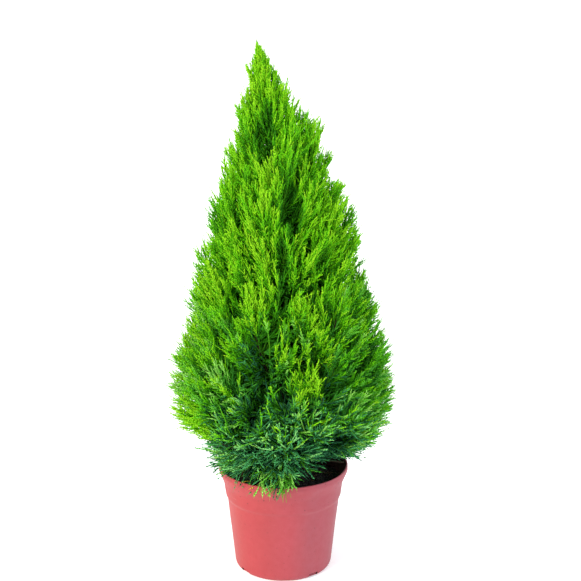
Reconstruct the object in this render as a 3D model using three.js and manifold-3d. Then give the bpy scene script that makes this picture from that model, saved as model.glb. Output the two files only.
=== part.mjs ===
// A lemon cypress in a round plastic nursery pot, as a scene graph of separate solids.
//
// Millimetres, +Z up. The origin is the centre of the pot's flat underside, on the ground, and the
// front of the plant faces -Y. The pot holds the soil, the soil holds the trunk, the trunk holds the
// boughs, and each bough carries one plume: a dense, feathery mass of shoots with its own stem.
// The plumes stand in tiers round the trunk, and the leader plume grows on from the trunk's tip.

import * as THREE from "three";
import { mergeVertices } from "three/addons/utils/BufferGeometryUtils.js";
import Module from "manifold-3d";

const wasm = await Module();
wasm.setup();

// Driving dimensions of the crown
const TREE_HEIGHT = 690; // ground to the topmost spray
const HEM_LEVEL = 120; // where the drooping foliage ends at the front
const HEM_LIFT = { most: 40, lowest: -97, spread: 34 }; // the hem rises on both sides of its lowest bearing
const LEAN = -33; // sideways drift of the top, to the left of the front view
const LEAN_POWER = 5; // the drift grows towards the top

// The crown's outline about the trunk's line, as level and radius
const CROWN_PROFILE = [
  [HEM_LEVEL, 92],
  [150, 103],
  [190, 128],
  [232, 147],
  [290, 137],
  [400, 108],
  [500, 80],
  [590, 49],
  [625, 27],
  [TREE_HEIGHT, 0],
];

// Driving dimensions of the pot
const POT_HEIGHT = 140;
const POT_RADIUS = 85; // over the flared lip
const POT_WALL = 2;
const POT_FLOOR = 3;
const POT_SIDES = 32;
const FOOT_RADIUS = 59.5;
const FOOT_CORNER = { radius: 64.5, level: 8, steps: 3 };
const COLLAR = { bottom: 102, top: 118, radius: 76.5, flare: 2, step: 2.6, rise: 8 };
const LIP_DEPTH = 6;
const DRAIN_SLOTS = 4;
const DRAIN_SLOT = { width: 15, height: 6, depth: 6, bearing: -52 };

// Driving dimensions of the soil and the trunk
const SOIL_LEVEL = 122;
const SOIL_DOME = 4;
const TRUNK_TIP = 520;
const TRUNK_RADIUS = { foot: 9, tip: 1.8 };
const ROOT_FLARE = { extra: 5, height: 22 };
const TRUNK_SIDES = 8;
const TRUNK_STEPS = 10;
const SEAT_GAP = 0.3; // between pieces that touch on the real plant

// The tiers of plumes, from the drooping skirt to the crest. Each has its number of plumes, the heights
// where they leave the trunk and where they end with the scatter of the ends, the half width of a plume,
// and the bend of its line as shares of its rise and of its reach. The bearing of a tier's first plume is
// in degrees from +X towards +Y, and the seed makes its irregularity.
const TIERS = [
  { name: "skirt", plumes: 7, root: 152, tip: 128, scatter: 5, width: 42, rise: 0.85, bend: 0.85 },
  { name: "low", plumes: 7, root: 172, tip: 214, scatter: 9, width: 60, rise: 0.15, bend: 0.72 },
  { name: "lower", plumes: 6, root: 194, tip: 296, scatter: 12, width: 62, rise: 0.25, bend: 0.78 },
  { name: "middle", plumes: 6, root: 240, tip: 394, scatter: 20, width: 62, rise: 0.3, bend: 0.78 },
  { name: "upper", plumes: 5, root: 312, tip: 500, scatter: 24, width: 60, rise: 0.35, bend: 0.78 },
  { name: "crest", plumes: 4, root: 410, tip: 600, scatter: 46, width: 48, rise: 0.4, bend: 0.75 },
];
const BEARINGS = { skirt: -92, low: -82, lower: -75, middle: -110, upper: -36, crest: -98 };
const SEEDS = { skirt: 335, low: 202, lower: 303, middle: 14, upper: 3, crest: 395 };
const SEED_STEP = 7; // from one plume of a tier to the next
const TIER_JITTER = { bearing: 9, root: 5 };
const BARE_TIERS = ["middle", "upper", "crest"]; // whose plumes stand straight on the trunk
const BARE_SHARE = 0.1; // of such a plume's line, next to the trunk, has no foliage
const LEADER = { width: 40, seed: 991 };
const BOUGH_SHARE = 0.26; // of the way from the trunk to the plume's tip
const BOUGH_RADIUS = { root: 0.34, tip: 0.5 }; // shares of the trunk there, and of the bough's own root
const BOUGH_SIDES = 5;
const BOUGH_STEPS = 3;

// Driving dimensions of a plume
const PLUME_POWER = 0.7; // below 1 the plume is full, and widest nearer its foot
const STEM_RADIUS = 1.7;
const STEM_TAPER = 0.5;
const STEM_STEPS = 4;
const STEM_END = 0.85; // along the plume's line
const TWIG_SIDES = 3;
const CORE_SHARE = 0.78; // of the plume's half width, at the core's teeth
const CORE_NOTCH = { along: 0.58, across: 0.5 }; // between two teeth of a ridge, and between two ridges
const CORE_START = 0.05; // along the leafy part
const CORE_SWEEP = 0.9; // how far the teeth point forward
const CORE_SIDES = 8;
const CORE_STEPS = 7;
const SHOOTS = 9;
const SHOOT_RADIUS = 1.5;
const SHOOT_START = 0.12; // along the leafy part
const SHOOT_ANGLE = { foot: 56, tip: 22 }; // between shoot and stem, in degrees
const SHOOT_BARE = { least: 0.1, most: 0.3 }; // length of its bare foot, as shares of a spray
const GOLDEN_ANGLE = Math.PI * (3 - Math.sqrt(5));
const TURN_JITTER = 0.8;
const SPRAY = { length: 62, width: 30, thickness: 2, roll: 35, sink: 0.3 };
const SPRAY_SIZES = [1.1, 0.95, 0.8, 0.68, 0.58]; // tried in turn until one keeps to the plume's space
const OUTLINE_SLACK = 5; // how far a spray may pass the crown's outline
const SPACE_MARGIN = 0.05; // kept between two plumes, as a share of a plume's half width
const LIMB_CLEARANCE = 1.5;
const BOUGH_SPACE = 7; // half width of the room kept round a bough
const ROOM_PLACES = 24; // along a plume's line
const ROOM_TIP = 0.9; // the room stays as wide as it is here up to the tip
const BOUGH_PLACES = 12;

const UP = new THREE.Vector3(0, 0, 1);
const { degToRad, lerp } = THREE.MathUtils;

const MATERIALS = {
  pot: new THREE.MeshStandardMaterial({ color: 0xc8584f, roughness: 0.5, metalness: 0 }),
  soil: new THREE.MeshStandardMaterial({ color: 0x2b211b, roughness: 0.95, metalness: 0 }),
  bark: new THREE.MeshStandardMaterial({ color: 0x6b4a33, roughness: 0.9, metalness: 0 }),
  foliage: new THREE.MeshStandardMaterial({ color: 0x63a81c, roughness: 0.7, metalness: 0 }),
};

// A repeatable stream of numbers from 0 to 1.
function seeded(seed) {
  let state = seed >>> 0;
  return () => {
    state = (state + 0x6d2b79f5) >>> 0;
    let mixed = Math.imul(state ^ (state >>> 15), state | 1);
    mixed ^= mixed + Math.imul(mixed ^ (mixed >>> 7), mixed | 61);
    return ((mixed ^ (mixed >>> 14)) >>> 0) / 4294967296;
  };
}

// Solids and booleans

function solidFrom(geometry) {
  const bare = geometry.clone();
  bare.deleteAttribute("normal");
  bare.deleteAttribute("uv");
  const welded = mergeVertices(bare);
  const vertProperties = welded.attributes.position.array;
  const triVerts = new Uint32Array(welded.index.array);
  return new wasm.Manifold(new wasm.Mesh({ numProp: 3, vertProperties, triVerts }));
}

function geometryFrom(solid) {
  const { vertProperties, triVerts } = solid.getMesh();
  const geometry = new THREE.BufferGeometry();
  geometry.setAttribute("position", new THREE.BufferAttribute(vertProperties, 3));
  geometry.setIndex(new THREE.BufferAttribute(triVerts, 1));
  geometry.computeVertexNormals();
  return geometry;
}

function fuse(geometries) {
  return geometries.map(solidFrom).reduce((whole, piece) => whole.add(piece));
}

function largestBody(solid) {
  return solid.decompose().reduce((a, b) => (a.volume() > b.volume() ? a : b));
}

function namedMesh(name, geometry, material) {
  const mesh = new THREE.Mesh(geometry, material);
  mesh.name = name;
  return mesh;
}

// A closed limb of varying radius along a curve: a cylinder whose rings are moved onto the curve.
// With a sweep, a ring's corners lie forward of its centre by that share of their radius.
function limb(curve, radiusAt, sides, steps, sweep = 0) {
  const geometry = new THREE.CylinderGeometry(1, 1, 1, sides, steps);
  const { tangents, normals, binormals } = curve.computeFrenetFrames(steps);
  const position = geometry.attributes.position;
  for (let i = 0; i < position.count; i++) {
    const ring = Math.round((position.getY(i) + 0.5) * steps);
    const along = ring / steps;
    const centre = curve.getPointAt(along);
    const outward = new THREE.Vector3()
      .addScaledVector(binormals[ring], position.getX(i))
      .addScaledVector(normals[ring], position.getZ(i));
    const isCapCentre = outward.lengthSq() < 1e-9;
    const turn = Math.atan2(position.getX(i), position.getZ(i)) / (2 * Math.PI);
    const corner = (Math.round(turn * sides) + sides) % sides;
    outward.addScaledVector(tangents[ring], sweep);
    const radius = isCapCentre ? 0 : radiusAt(along, centre, outward, corner);
    position.setXYZ(i, ...centre.addScaledVector(outward, radius));
  }
  return geometry;
}

// The trunk's line, and the crown's outline about it

function trunkPoint(level) {
  const rise = Math.max(0, level - SOIL_LEVEL) / (TREE_HEIGHT - SOIL_LEVEL);
  return new THREE.Vector3(LEAN * rise ** LEAN_POWER, 0, level);
}

function trunkRadius(level) {
  const share = THREE.MathUtils.clamp((level - SOIL_LEVEL) / (TRUNK_TIP - SOIL_LEVEL), 0, 1);
  const flare = ROOT_FLARE.extra * Math.exp((SOIL_LEVEL - level) / (ROOT_FLARE.height / 2));
  return lerp(TRUNK_RADIUS.foot, TRUNK_RADIUS.tip, share) + flare;
}

// A value read off a table of rising places, each with its own value.
function readOff(table, place) {
  const next = Math.max(1, table.findIndex(([at]) => at >= place));
  const [[from, low], [to, high]] = [table[next - 1], table[next]];
  return lerp(low, high, THREE.MathUtils.clamp((place - from) / (to - from), 0, 1));
}

function crownRadius(level) {
  return readOff(CROWN_PROFILE, Math.min(level, TREE_HEIGHT));
}

// How much higher the hem is at a bearing than at the front, where it hangs over the pot.
function hemLift(bearing) {
  const fromLowest = bearing - degToRad(HEM_LIFT.lowest);
  const away = Math.atan2(Math.sin(fromLowest), Math.cos(fromLowest)) / degToRad(HEM_LIFT.spread);
  return HEM_LIFT.most * (1 - Math.exp(-(away ** 2)));
}

function outwardAt(bearing) {
  return new THREE.Vector3(Math.cos(bearing), Math.sin(bearing), 0);
}

class TrunkCurve extends THREE.Curve {
  getPoint(share, target = new THREE.Vector3()) {
    return target.copy(trunkPoint(lerp(SOIL_LEVEL + SEAT_GAP, TRUNK_TIP, share)));
  }
}

function trunkGeometry(extraRadius) {
  const radiusAt = (along, centre) => trunkRadius(centre.z) + extraRadius;
  return limb(new TrunkCurve(), radiusAt, TRUNK_SIDES, TRUNK_STEPS);
}

// Pot and soil

// The outside of the pot from the rounded foot to the lip, as radius and level.
function potOutside() {
  const { radius, level, steps } = FOOT_CORNER;
  const corner = Array.from({ length: steps + 1 }, (_, i) => {
    const turn = (i / steps) * (Math.PI / 2);
    return [lerp(FOOT_RADIUS, radius, Math.sin(turn)), level * (1 - Math.cos(turn))];
  });
  return [
    ...corner,
    [COLLAR.radius - COLLAR.step, COLLAR.bottom - COLLAR.rise],
    [COLLAR.radius, COLLAR.bottom],
    [COLLAR.radius + COLLAR.flare, COLLAR.top],
    [POT_RADIUS, POT_HEIGHT - LIP_DEPTH],
    [POT_RADIUS, POT_HEIGHT],
  ];
}

function potRadius(level) {
  return readOff(potOutside().map(([radius, at]) => [at, radius]), Math.min(level, POT_HEIGHT));
}

// The pot's inside from the floor up to a level, moved inwards by a gap.
function potInside(gap, top) {
  const floor = POT_FLOOR + gap;
  const shoulders = potOutside().map(([, level]) => level).filter((level) => level > floor && level < top);
  return [floor, ...shoulders, top].map((level) => [potRadius(level) - POT_WALL - gap, level]);
}

function lathe(profile) {
  const points = profile.map(([radius, level]) => new THREE.Vector2(radius, level));
  return new THREE.LatheGeometry(points, POT_SIDES).rotateX(Math.PI / 2);
}

function makePot() {
  const inside = potInside(0, POT_HEIGHT).reverse();
  let pot = solidFrom(lathe([[0, 0], ...potOutside(), ...inside, [0, POT_FLOOR]]));
  for (let i = 0; i < DRAIN_SLOTS; i++) {
    const { width, height, depth, bearing } = DRAIN_SLOT;
    const slot = new THREE.BoxGeometry(depth * 2, width, height * 2);
    slot.translate(FOOT_RADIUS + depth, 0, 0);
    slot.rotateZ(degToRad(bearing) + (i * 2 * Math.PI) / DRAIN_SLOTS);
    pot = pot.subtract(solidFrom(slot));
  }
  return namedMesh("pot", geometryFrom(pot), MATERIALS.pot);
}

// The room that foliage leaves round the pot's collar and lip.
function lipRoomGeometry() {
  const inner = COLLAR.radius - POT_WALL - SEAT_GAP;
  const outer = POT_RADIUS + SEAT_GAP;
  const top = POT_HEIGHT + SEAT_GAP;
  const corners = [[inner, COLLAR.bottom], [outer, COLLAR.bottom], [outer, top], [inner, top]];
  return lathe([...corners, corners[0]]);
}

// The soil rises a little towards the trunk and is flat where the trunk stands.
function makeSoil() {
  const wall = potInside(SEAT_GAP, SOIL_LEVEL - SOIL_DOME);
  const floor = POT_FLOOR + SEAT_GAP;
  const seat = trunkRadius(SOIL_LEVEL) + SOIL_DOME;
  const profile = [[0, floor], ...wall, [seat, SOIL_LEVEL], [0, SOIL_LEVEL]];
  return namedMesh("soil", lathe(profile), MATERIALS.soil);
}

// Plumes: their lines and the space that each keeps to

// The plume's half width as a share of its widest, along its leafy part.
function plumeProfile(share) {
  return Math.sin(Math.PI * share ** PLUME_POWER) ** PLUME_POWER;
}

function makeLine(tier, index, seed) {
  const random = seeded(seed);
  const spread = (size) => (random() * 2 - 1) * size;
  const sector = 360 / tier.plumes;
  const turn = degToRad(index * sector + BEARINGS[tier.name] + spread(TIER_JITTER.bearing));
  const outward = outwardAt(turn);
  const root = trunkPoint(tier.root + spread(TIER_JITTER.root));
  const tipLevel = tier.tip + spread(tier.scatter) + (tier.name === "skirt" ? hemLift(turn) : 0);
  const reach = crownRadius(tipLevel);
  const tip = trunkPoint(tipLevel).addScaledVector(outward, reach);
  const bend = root.clone().addScaledVector(outward, reach * tier.bend);
  bend.z = tip.z > root.z ? lerp(root.z, tip.z, tier.rise) : root.z + (root.z - tip.z) * tier.rise;
  return { curve: new THREE.QuadraticBezierCurve3(root, bend, tip), random };
}

function makePlumePlans() {
  const plans = [];
  for (const tier of TIERS) {
    for (let index = 0; index < tier.plumes; index++) {
      const seed = SEEDS[tier.name] + SEED_STEP * index;
      const { curve, random } = makeLine(tier, index, seed);
      const bough = !BARE_TIERS.includes(tier.name);
      const leafy = bough ? BOUGH_SHARE : BARE_SHARE;
      const label = `${tier.name}_${index + 1}`;
      plans.push({ label, curve, random, leafy, width: tier.width, bough });
    }
  }
  const foot = trunkPoint(TRUNK_TIP + SEAT_GAP);
  const top = trunkPoint(TREE_HEIGHT);
  const curve = new THREE.LineCurve3(foot, top);
  const random = seeded(LEADER.seed);
  plans.push({ label: "leader", curve, random, leafy: 0, width: LEADER.width, bough: false });
  return plans;
}

// Points along a plume's line, each with the half width of the room kept there.
function withRoom(plan) {
  const room = curvePoints(plan.curve, ROOM_PLACES).map(({ point, along }) => {
    const share = Math.max(0, along - plan.leafy) / (1 - plan.leafy);
    return { point, half: Math.max(BOUGH_SPACE, plan.width * plumeProfile(Math.min(share, ROOM_TIP))) };
  });
  return { ...plan, room };
}

function curvePoints(curve, count) {
  const shares = Array.from({ length: count + 1 }, (_, i) => i / count);
  return shares.map((along) => ({ point: curve.getPointAt(along), along }));
}

// How far a point is from a plume's line, in half widths of its room.
function farness(plan, point) {
  return Math.min(...plan.room.map((place) => place.point.distanceTo(point) / place.half));
}

function clearOfTrunk(point) {
  const axis = trunkPoint(point.z);
  const gap = Math.hypot(point.x - axis.x, point.y - axis.y);
  return point.z > TRUNK_TIP || gap > trunkRadius(point.z) + LIMB_CLEARANCE;
}

function clearOfBoughs(point) {
  return boughLines.every(({ plan, points }) =>
    points.every((place) => place.point.distanceTo(point) > boughRadius(plan, place.along) + LIMB_CLEARANCE),
  );
}

// Where a point stands beside the pot: above the lip, outside the wall, inside above the soil, or in it.
function sideOfPot(point) {
  const radius = Math.hypot(point.x, point.y);
  if (point.z > POT_HEIGHT + LIMB_CLEARANCE) return "above";
  if (radius > POT_RADIUS + LIMB_CLEARANCE) return "outside";
  const inside = radius < potRadius(Math.max(0, point.z)) - POT_WALL - LIMB_CLEARANCE;
  return inside && point.z > SOIL_LEVEL + LIMB_CLEARANCE ? "inside" : "in the way";
}

function insideOutline(point) {
  const offset = point.clone().sub(trunkPoint(point.z));
  const hem = HEM_LEVEL + hemLift(Math.atan2(offset.y, offset.x));
  return point.z > hem && point.z < TREE_HEIGHT && offset.length() < crownRadius(point.z) + OUTLINE_SLACK;
}

function inOwnSpace(plan, point) {
  if (sideOfPot(point) === "in the way") return false;
  if (!insideOutline(point) || !clearOfTrunk(point) || !clearOfBoughs(point)) return false;
  const own = farness(plan, point) + SPACE_MARGIN;
  return plans.every((other) => other === plan || farness(other, point) > own);
}

// A piece keeps to its plume's space if all its corners do and it doesn't pass through the pot's wall.
function keepsToSpace(plan, geometry) {
  const position = geometry.attributes.position;
  const corners = Array.from({ length: position.count }, (_, i) =>
    new THREE.Vector3().fromBufferAttribute(position, i),
  );
  const sides = new Set(corners.map(sideOfPot));
  const throughWall = sides.has("inside") && sides.has("outside");
  return !throughWall && corners.every((corner) => inOwnSpace(plan, corner));
}

// Boughs

function boughRadius(plan, along) {
  const root = trunkRadius(plan.curve.getPointAt(0).z) * BOUGH_RADIUS.root;
  return lerp(root, root * BOUGH_RADIUS.tip, along / BOUGH_SHARE);
}

// The part of a curve between two places along it, as a curve of its own.
class PartOfCurve extends THREE.Curve {
  constructor(whole, from, to) {
    super();
    Object.assign(this, { whole, from, to });
  }
  getPoint(share) {
    return this.whole.getPointAt(lerp(this.from, this.to, share));
  }
}

function boughGeometry(plan, extraRadius) {
  const line = new PartOfCurve(plan.curve, 0, BOUGH_SHARE);
  const radiusAt = (along) => boughRadius(plan, along * BOUGH_SHARE) + extraRadius;
  return limb(line, radiusAt, BOUGH_SIDES, BOUGH_STEPS);
}

function makeBough(plan, trunkRoom) {
  const bough = largestBody(solidFrom(boughGeometry(plan, 0)).subtract(trunkRoom));
  return namedMesh(`bough_${plan.label}`, geometryFrom(bough), MATERIALS.bark);
}

// Foliage

// A spray of fine needles as a thin blade with five prongs: a lens whose rim is drawn out to the outline.
// It lies in the XY plane with its root at the origin and its tip along +X.
function sprayBlade(length, width) {
  const side = [
    [0.5, 0.5],
    [0.52, 0.19],
    [0.84, 0.36],
    [0.75, 0.1],
  ];
  const right = side.map(([along, across]) => [along, -across]);
  const outline = [[0, 0], ...right, [1, 0], ...side.toReversed()];
  const belly = 0.3;
  const blade = new THREE.SphereGeometry(1, outline.length, 2);
  const position = blade.attributes.position;
  for (let i = 0; i < position.count; i++) {
    const [x, y, z] = [position.getX(i), position.getY(i), position.getZ(i)];
    const turn = Math.atan2(z, -x) / (2 * Math.PI);
    const place = (Math.round(turn * outline.length) + outline.length) % outline.length;
    const [along, across] = outline[place];
    if (Math.abs(y) > 0.5) position.setXYZ(i, belly * length, 0, (y * SPRAY.thickness) / 2);
    else position.setXYZ(i, along * length, across * width, 0);
  }
  return blade;
}

// Moves a blade so that its root is at a point, its tip points along a direction, and it faces outwards.
function placeBlade(blade, root, direction, facing) {
  const across = new THREE.Vector3().crossVectors(facing, direction).normalize();
  const normal = new THREE.Vector3().crossVectors(direction, across);
  const basis = new THREE.Matrix4().makeBasis(direction, across, normal).setPosition(root);
  return blade.applyMatrix4(basis);
}

// A three-sided twig that tapers to a point.
function twig(from, to, radius) {
  const cone = new THREE.ConeGeometry(radius, from.distanceTo(to), TWIG_SIDES);
  const way = to.clone().sub(from).normalize();
  cone.applyQuaternion(new THREE.Quaternion().setFromUnitVectors(new THREE.Vector3(0, 1, 0), way));
  return cone.translate(...from.clone().lerp(to, 0.5));
}

function makeStem(plan) {
  const gap = SEAT_GAP / plan.curve.getLength();
  const line = new PartOfCurve(plan.curve, plan.bough ? plan.leafy + gap : 0, STEM_END);
  return limb(line, (along) => STEM_RADIUS * lerp(1, STEM_TAPER, along), TWIG_SIDES, STEM_STEPS);
}

// The dense heart of a plume: toothed ridges that run out in its tip on the crown's outline, drawn in
// wherever they would leave the plume's space.
function makeCore(plan) {
  const line = new PartOfCurve(plan.curve, lerp(plan.leafy, 1, CORE_START), 1);
  const radiusAt = (along, centre, outward, corner) => {
    const onRidge = corner % 2 === 0;
    const onTooth = (Math.round(along * CORE_STEPS) + corner / 2) % 2 === 0;
    const notch = onRidge ? (onTooth ? 1 : CORE_NOTCH.along) : CORE_NOTCH.across;
    let radius = plan.width * CORE_SHARE * notch * plumeProfile(lerp(CORE_START, 1, along));
    while (radius > STEM_RADIUS && !inOwnSpace(plan, centre.clone().addScaledVector(outward, radius))) {
      radius -= 1;
    }
    return Math.max(radius, STEM_RADIUS * STEM_TAPER);
  };
  return limb(line, radiusAt, CORE_SIDES, CORE_STEPS, CORE_SWEEP);
}

// The largest spray of a direction and facing that keeps to the plume's space, if any does.
function fittingSpray(plan, root, way, facing) {
  for (const size of SPRAY_SIZES) {
    const blade = placeBlade(sprayBlade(SPRAY.length * size, SPRAY.width * size), root, way, facing);
    if (keepsToSpace(plan, blade)) return blade;
  }
  return null;
}

// One shoot off the stem: its twig and the spray on its end, or nothing where they leave the plume's space.
function makeShoot(plan, order) {
  const share = lerp(SHOOT_START, 1, (order + 0.5) / SHOOTS);
  const along = lerp(plan.leafy, STEM_END, share);
  const stemWay = plan.curve.getTangentAt(along);
  const start = plan.curve.getPointAt(along);
  const turn = order * GOLDEN_ANGLE + plan.random() * TURN_JITTER;
  const level = new THREE.Vector3().crossVectors(stemWay, UP).normalize();
  const side = level.applyAxisAngle(stemWay, turn);
  const angle = degToRad(lerp(SHOOT_ANGLE.foot, SHOOT_ANGLE.tip, share));
  const direction = stemWay.clone().multiplyScalar(Math.cos(angle)).addScaledVector(side, Math.sin(angle));
  const bareLength = SPRAY.length * lerp(SHOOT_BARE.least, SHOOT_BARE.most, plan.random());
  const roll = degToRad(SPRAY.roll * (plan.random() * 2 - 1));
  const facing = side.clone().applyAxisAngle(direction, roll);
  const root = start.clone().addScaledVector(direction, bareLength * (1 - SPRAY.sink));
  const bare = twig(start, start.clone().addScaledVector(direction, bareLength), SHOOT_RADIUS);
  const blade = fittingSpray(plan, root, direction, facing);
  return blade && keepsToSpace(plan, bare) ? [bare, blade] : [];
}

function makePlume(plan, takenRoom) {
  const pieces = [makeStem(plan), makeCore(plan)];
  for (let order = 0; order < SHOOTS; order++) pieces.push(...makeShoot(plan, order));
  const plume = largestBody(fuse(pieces).subtract(takenRoom));
  return namedMesh(`plume_${plan.label}`, geometryFrom(plume), MATERIALS.foliage);
}

const plans = makePlumePlans().map(withRoom);
const boughLines = plans
  .filter((plan) => plan.bough)
  .map((plan) => ({ plan, points: curvePoints(new PartOfCurve(plan.curve, 0, BOUGH_SHARE), BOUGH_PLACES) }));

function makeCrown() {
  const crown = new THREE.Group();
  const trunkRoom = solidFrom(trunkGeometry(SEAT_GAP));
  const boughRooms = boughLines.map(({ plan }) => boughGeometry(plan, SEAT_GAP));
  const takenRoom = fuse([trunkGeometry(SEAT_GAP), ...boughRooms, lipRoomGeometry()]);
  crown.add(namedMesh("trunk", trunkGeometry(0), MATERIALS.bark));
  for (const plan of plans) {
    if (plan.bough) crown.add(makeBough(plan, trunkRoom));
    crown.add(makePlume(plan, takenRoom));
  }
  return crown;
}

const lemonCypress = new THREE.Group();
lemonCypress.add(makePot(), makeSoil(), makeCrown());

export default lemonCypress;
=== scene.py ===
"""A lemon cypress in its plastic nursery pot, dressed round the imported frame.

Metres, +Z up, the origin at the centre of the pot's underside, the front of the plant facing -Y.
The pot, soil, trunk and boughs are modelled by hand. Each plume of foliage grows from its own
stem by the rule of the solid model, carried on to shoots, branchlets and needles.
"""

import math

import bpy
import numpy as np
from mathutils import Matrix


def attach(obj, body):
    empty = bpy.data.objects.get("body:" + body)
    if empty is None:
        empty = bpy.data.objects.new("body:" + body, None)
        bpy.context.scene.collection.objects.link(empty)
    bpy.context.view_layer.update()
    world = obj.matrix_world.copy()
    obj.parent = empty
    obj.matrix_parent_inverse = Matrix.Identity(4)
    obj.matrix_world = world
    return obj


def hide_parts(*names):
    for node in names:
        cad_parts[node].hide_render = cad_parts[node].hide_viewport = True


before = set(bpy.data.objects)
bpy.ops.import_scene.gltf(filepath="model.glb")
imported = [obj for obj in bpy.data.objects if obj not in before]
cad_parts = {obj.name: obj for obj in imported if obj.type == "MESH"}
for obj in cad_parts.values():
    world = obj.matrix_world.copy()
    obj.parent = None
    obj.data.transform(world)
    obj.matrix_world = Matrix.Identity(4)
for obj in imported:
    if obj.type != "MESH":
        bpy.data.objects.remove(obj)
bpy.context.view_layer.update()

# The crown's outline and the trunk's line
TREE_HEIGHT = 0.690
HEM_LEVEL = 0.120
CROWN_LEVELS = (HEM_LEVEL, 0.150, 0.190, 0.232, 0.290, 0.400, 0.500, 0.590, 0.625, TREE_HEIGHT)
CROWN_RADII = (0.092, 0.103, 0.128, 0.147, 0.137, 0.108, 0.080, 0.049, 0.027, 0)
LEAN = -0.033
LEAN_POWER = 5
LINE_PLACES = 96
GOLDEN_ANGLE = math.pi * (3 - math.sqrt(5))
UP = np.array([0.0, 0.0, 1.0])

# The pot
POT_HEIGHT = 0.140
POT_RADIUS = 0.085
POT_WALL = 0.002
POT_FLOOR = 0.003
POT_SIDES = 96
POT_RINGS = {"body": 9, "collar": 4, "flare": 6}
FOOT_RADIUS = 0.0595
FOOT_CORNER = {"radius": 0.0645, "level": 0.008, "steps": 6}
COLLAR = {"bottom": 0.102, "top": 0.118, "radius": 0.0765, "flare": 0.002, "step": 0.0026,
          "rise": 0.008, "rings": 6}
LIP_DEPTH = 0.006
LIP_ROUND = 0.0007
LIP_EDGE = 0.0012
INNER_RING = 0.05
DRAIN_SLOTS = 4
DRAIN_SLOT = {"width": 0.015, "height": 0.006, "depth": 0.006, "bearing": -52, "round": 0.0012,
              "round_steps": 3}
UNEVEN_WALL = {"size": 0.06, "detail": 1, "strength": 0.0012}
FIRM_FOOT = {"top": 0.012, "fade": 0.05}
POT_SMOOTH = 38

# The soil and the litter on it
SOIL_LEVEL = 0.122
SOIL_DOME = 0.004
SOIL_SIDES = 72
SOIL_RING = 0.06
DOME_RINGS = {"count": 15, "middle": 0.004, "edge": 0.0005}
SOIL_LUMPS = {"clods": {"size": 0.016, "detail": 3, "strength": 0.006},
              "crumb_grain": {"size": 0.004, "detail": 3, "strength": 0.0035}}
LUMP_LEVEL = 0.55
SOIL_SMOOTH = 50
SEAT_GAP = 0.0003
LITTER = {"crumbs": 900, "needles": 180, "reach": 0.072, "seed": 17}
CRUMB = {"size": 0.0016, "least": 0.35}
FALLEN = {"length": 0.008, "scatter": (0.6, 1.2), "wider": 1.3, "tilt": 0.15}

# The trunk, the boughs and their bark, with radii at foot and tip
TRUNK_TIP = 0.520
TRUNK_RADIUS = (0.009, 0.0018)
TRUNK_RINGS = {"foot": 12, "foot_top": 0.16, "stem_start": 0.17, "stem": 44}
ROOT_FLARE = {"extra": 0.005, "height": 0.022}
BOUGH_SHARE = 0.26
BOUGH_START = 0.02
BOUGH_RINGS = 10
BOUGH_RADIUS = {"root": 0.34, "tip": 0.5}
LIMB_SIDES = {"trunk": 16, "bough": 8}
BARK_RIDGES = {"size": 0.0035, "detail": 2, "stretch": 5, "trunk": 0.0016, "boughs": 0.0008}
BARK_SMOOTH = 60

# The tiers of plumes: their number, the levels of root and tip with the tip's scatter, the half
# width, the rise and bend of the line, the bearing of the first plume and the seed
TIER_FIELDS = ("name", "plumes", "root", "tip", "scatter", "width", "rise", "bend", "bearing",
               "seed")
TIERS = [dict(zip(TIER_FIELDS, row)) for row in (
    ("skirt", 7, 0.152, 0.128, 0.005, 0.042, 0.85, 0.85, -92, 335),
    ("low", 7, 0.172, 0.214, 0.009, 0.060, 0.15, 0.72, -82, 202),
    ("lower", 6, 0.194, 0.296, 0.012, 0.062, 0.25, 0.78, -75, 303),
    ("middle", 6, 0.240, 0.394, 0.020, 0.062, 0.3, 0.78, -110, 14),
    ("upper", 5, 0.312, 0.500, 0.024, 0.060, 0.35, 0.78, -36, 3),
    ("crest", 4, 0.410, 0.600, 0.046, 0.048, 0.4, 0.75, -98, 395),
)]
TIER_JITTER = {"bearing": 9, "root": 0.005}
SEED_STEP = 7
BARE_TIERS = ("middle", "upper", "crest")
BARE_SHARE = 0.1
LEADER = {"width": 0.040, "seed": 991}
HEM_LIFT = {"most": 0.040, "lowest": -97, "spread": 34}
FRINGE_LIFT = {"most": 0.040, "lowest": -106, "spread": 40}

# Places on the crown, each a bearing, a level, a half width and a half height: hollows and
# shallower clefts, sprigs that pass the outline and notches in it, barer parts, and brighter
# flames of young growth, which also paint light on ridges that catch the light
HOLLOWS = ((-103, 0.326, 0.014, 0.026), (-106, 0.287, 0.014, 0.028), (-109, 0.252, 0.014, 0.018),
           (-64, 0.284, 0.013, 0.024), (-78, 0.500, 0.012, 0.028), (-106, 0.580, 0.012, 0.032),
           (-91, 0.266, 0.010, 0.012), (-58, 0.205, 0.016, 0.014), (-121, 0.152, 0.008, 0.010),
           (-48, 0.152, 0.032, 0.021), (-100, 0.604, 0.007, 0.018))
CLEFTS = ((-89, 0.440, 0.006, 0.020), (-90, 0.392, 0.006, 0.022), (-126, 0.374, 0.008, 0.018),
          (-57, 0.364, 0.007, 0.014), (-68, 0.396, 0.005, 0.011), (-53, 0.430, 0.005, 0.016))
SPRIGS = ((180, 0.652, 0.014, 0.014), (0, 0.582, 0.016, 0.016), (180, 0.424, 0.014, 0.010),
          (-178, 0.287, 0.016, 0.012), (-178, 0.202, 0.020, 0.007), (-4, 0.176, 0.030, 0.012))
NOTCHES = ((-174, 0.172, 0.080, 0.018), (-176, 0.214, 0.040, 0.006), (-174, 0.318, 0.040, 0.014),
           (-8, 0.426, 0.030, 0.018), (178, 0.590, 0.030, 0.010), (-2, 0.530, 0.025, 0.012))
BARER_PARTS = ((-109, 0.296, 0.024, 0.056), (-63, 0.280, 0.020, 0.034),
               (-58, 0.215, 0.030, 0.030))
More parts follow.
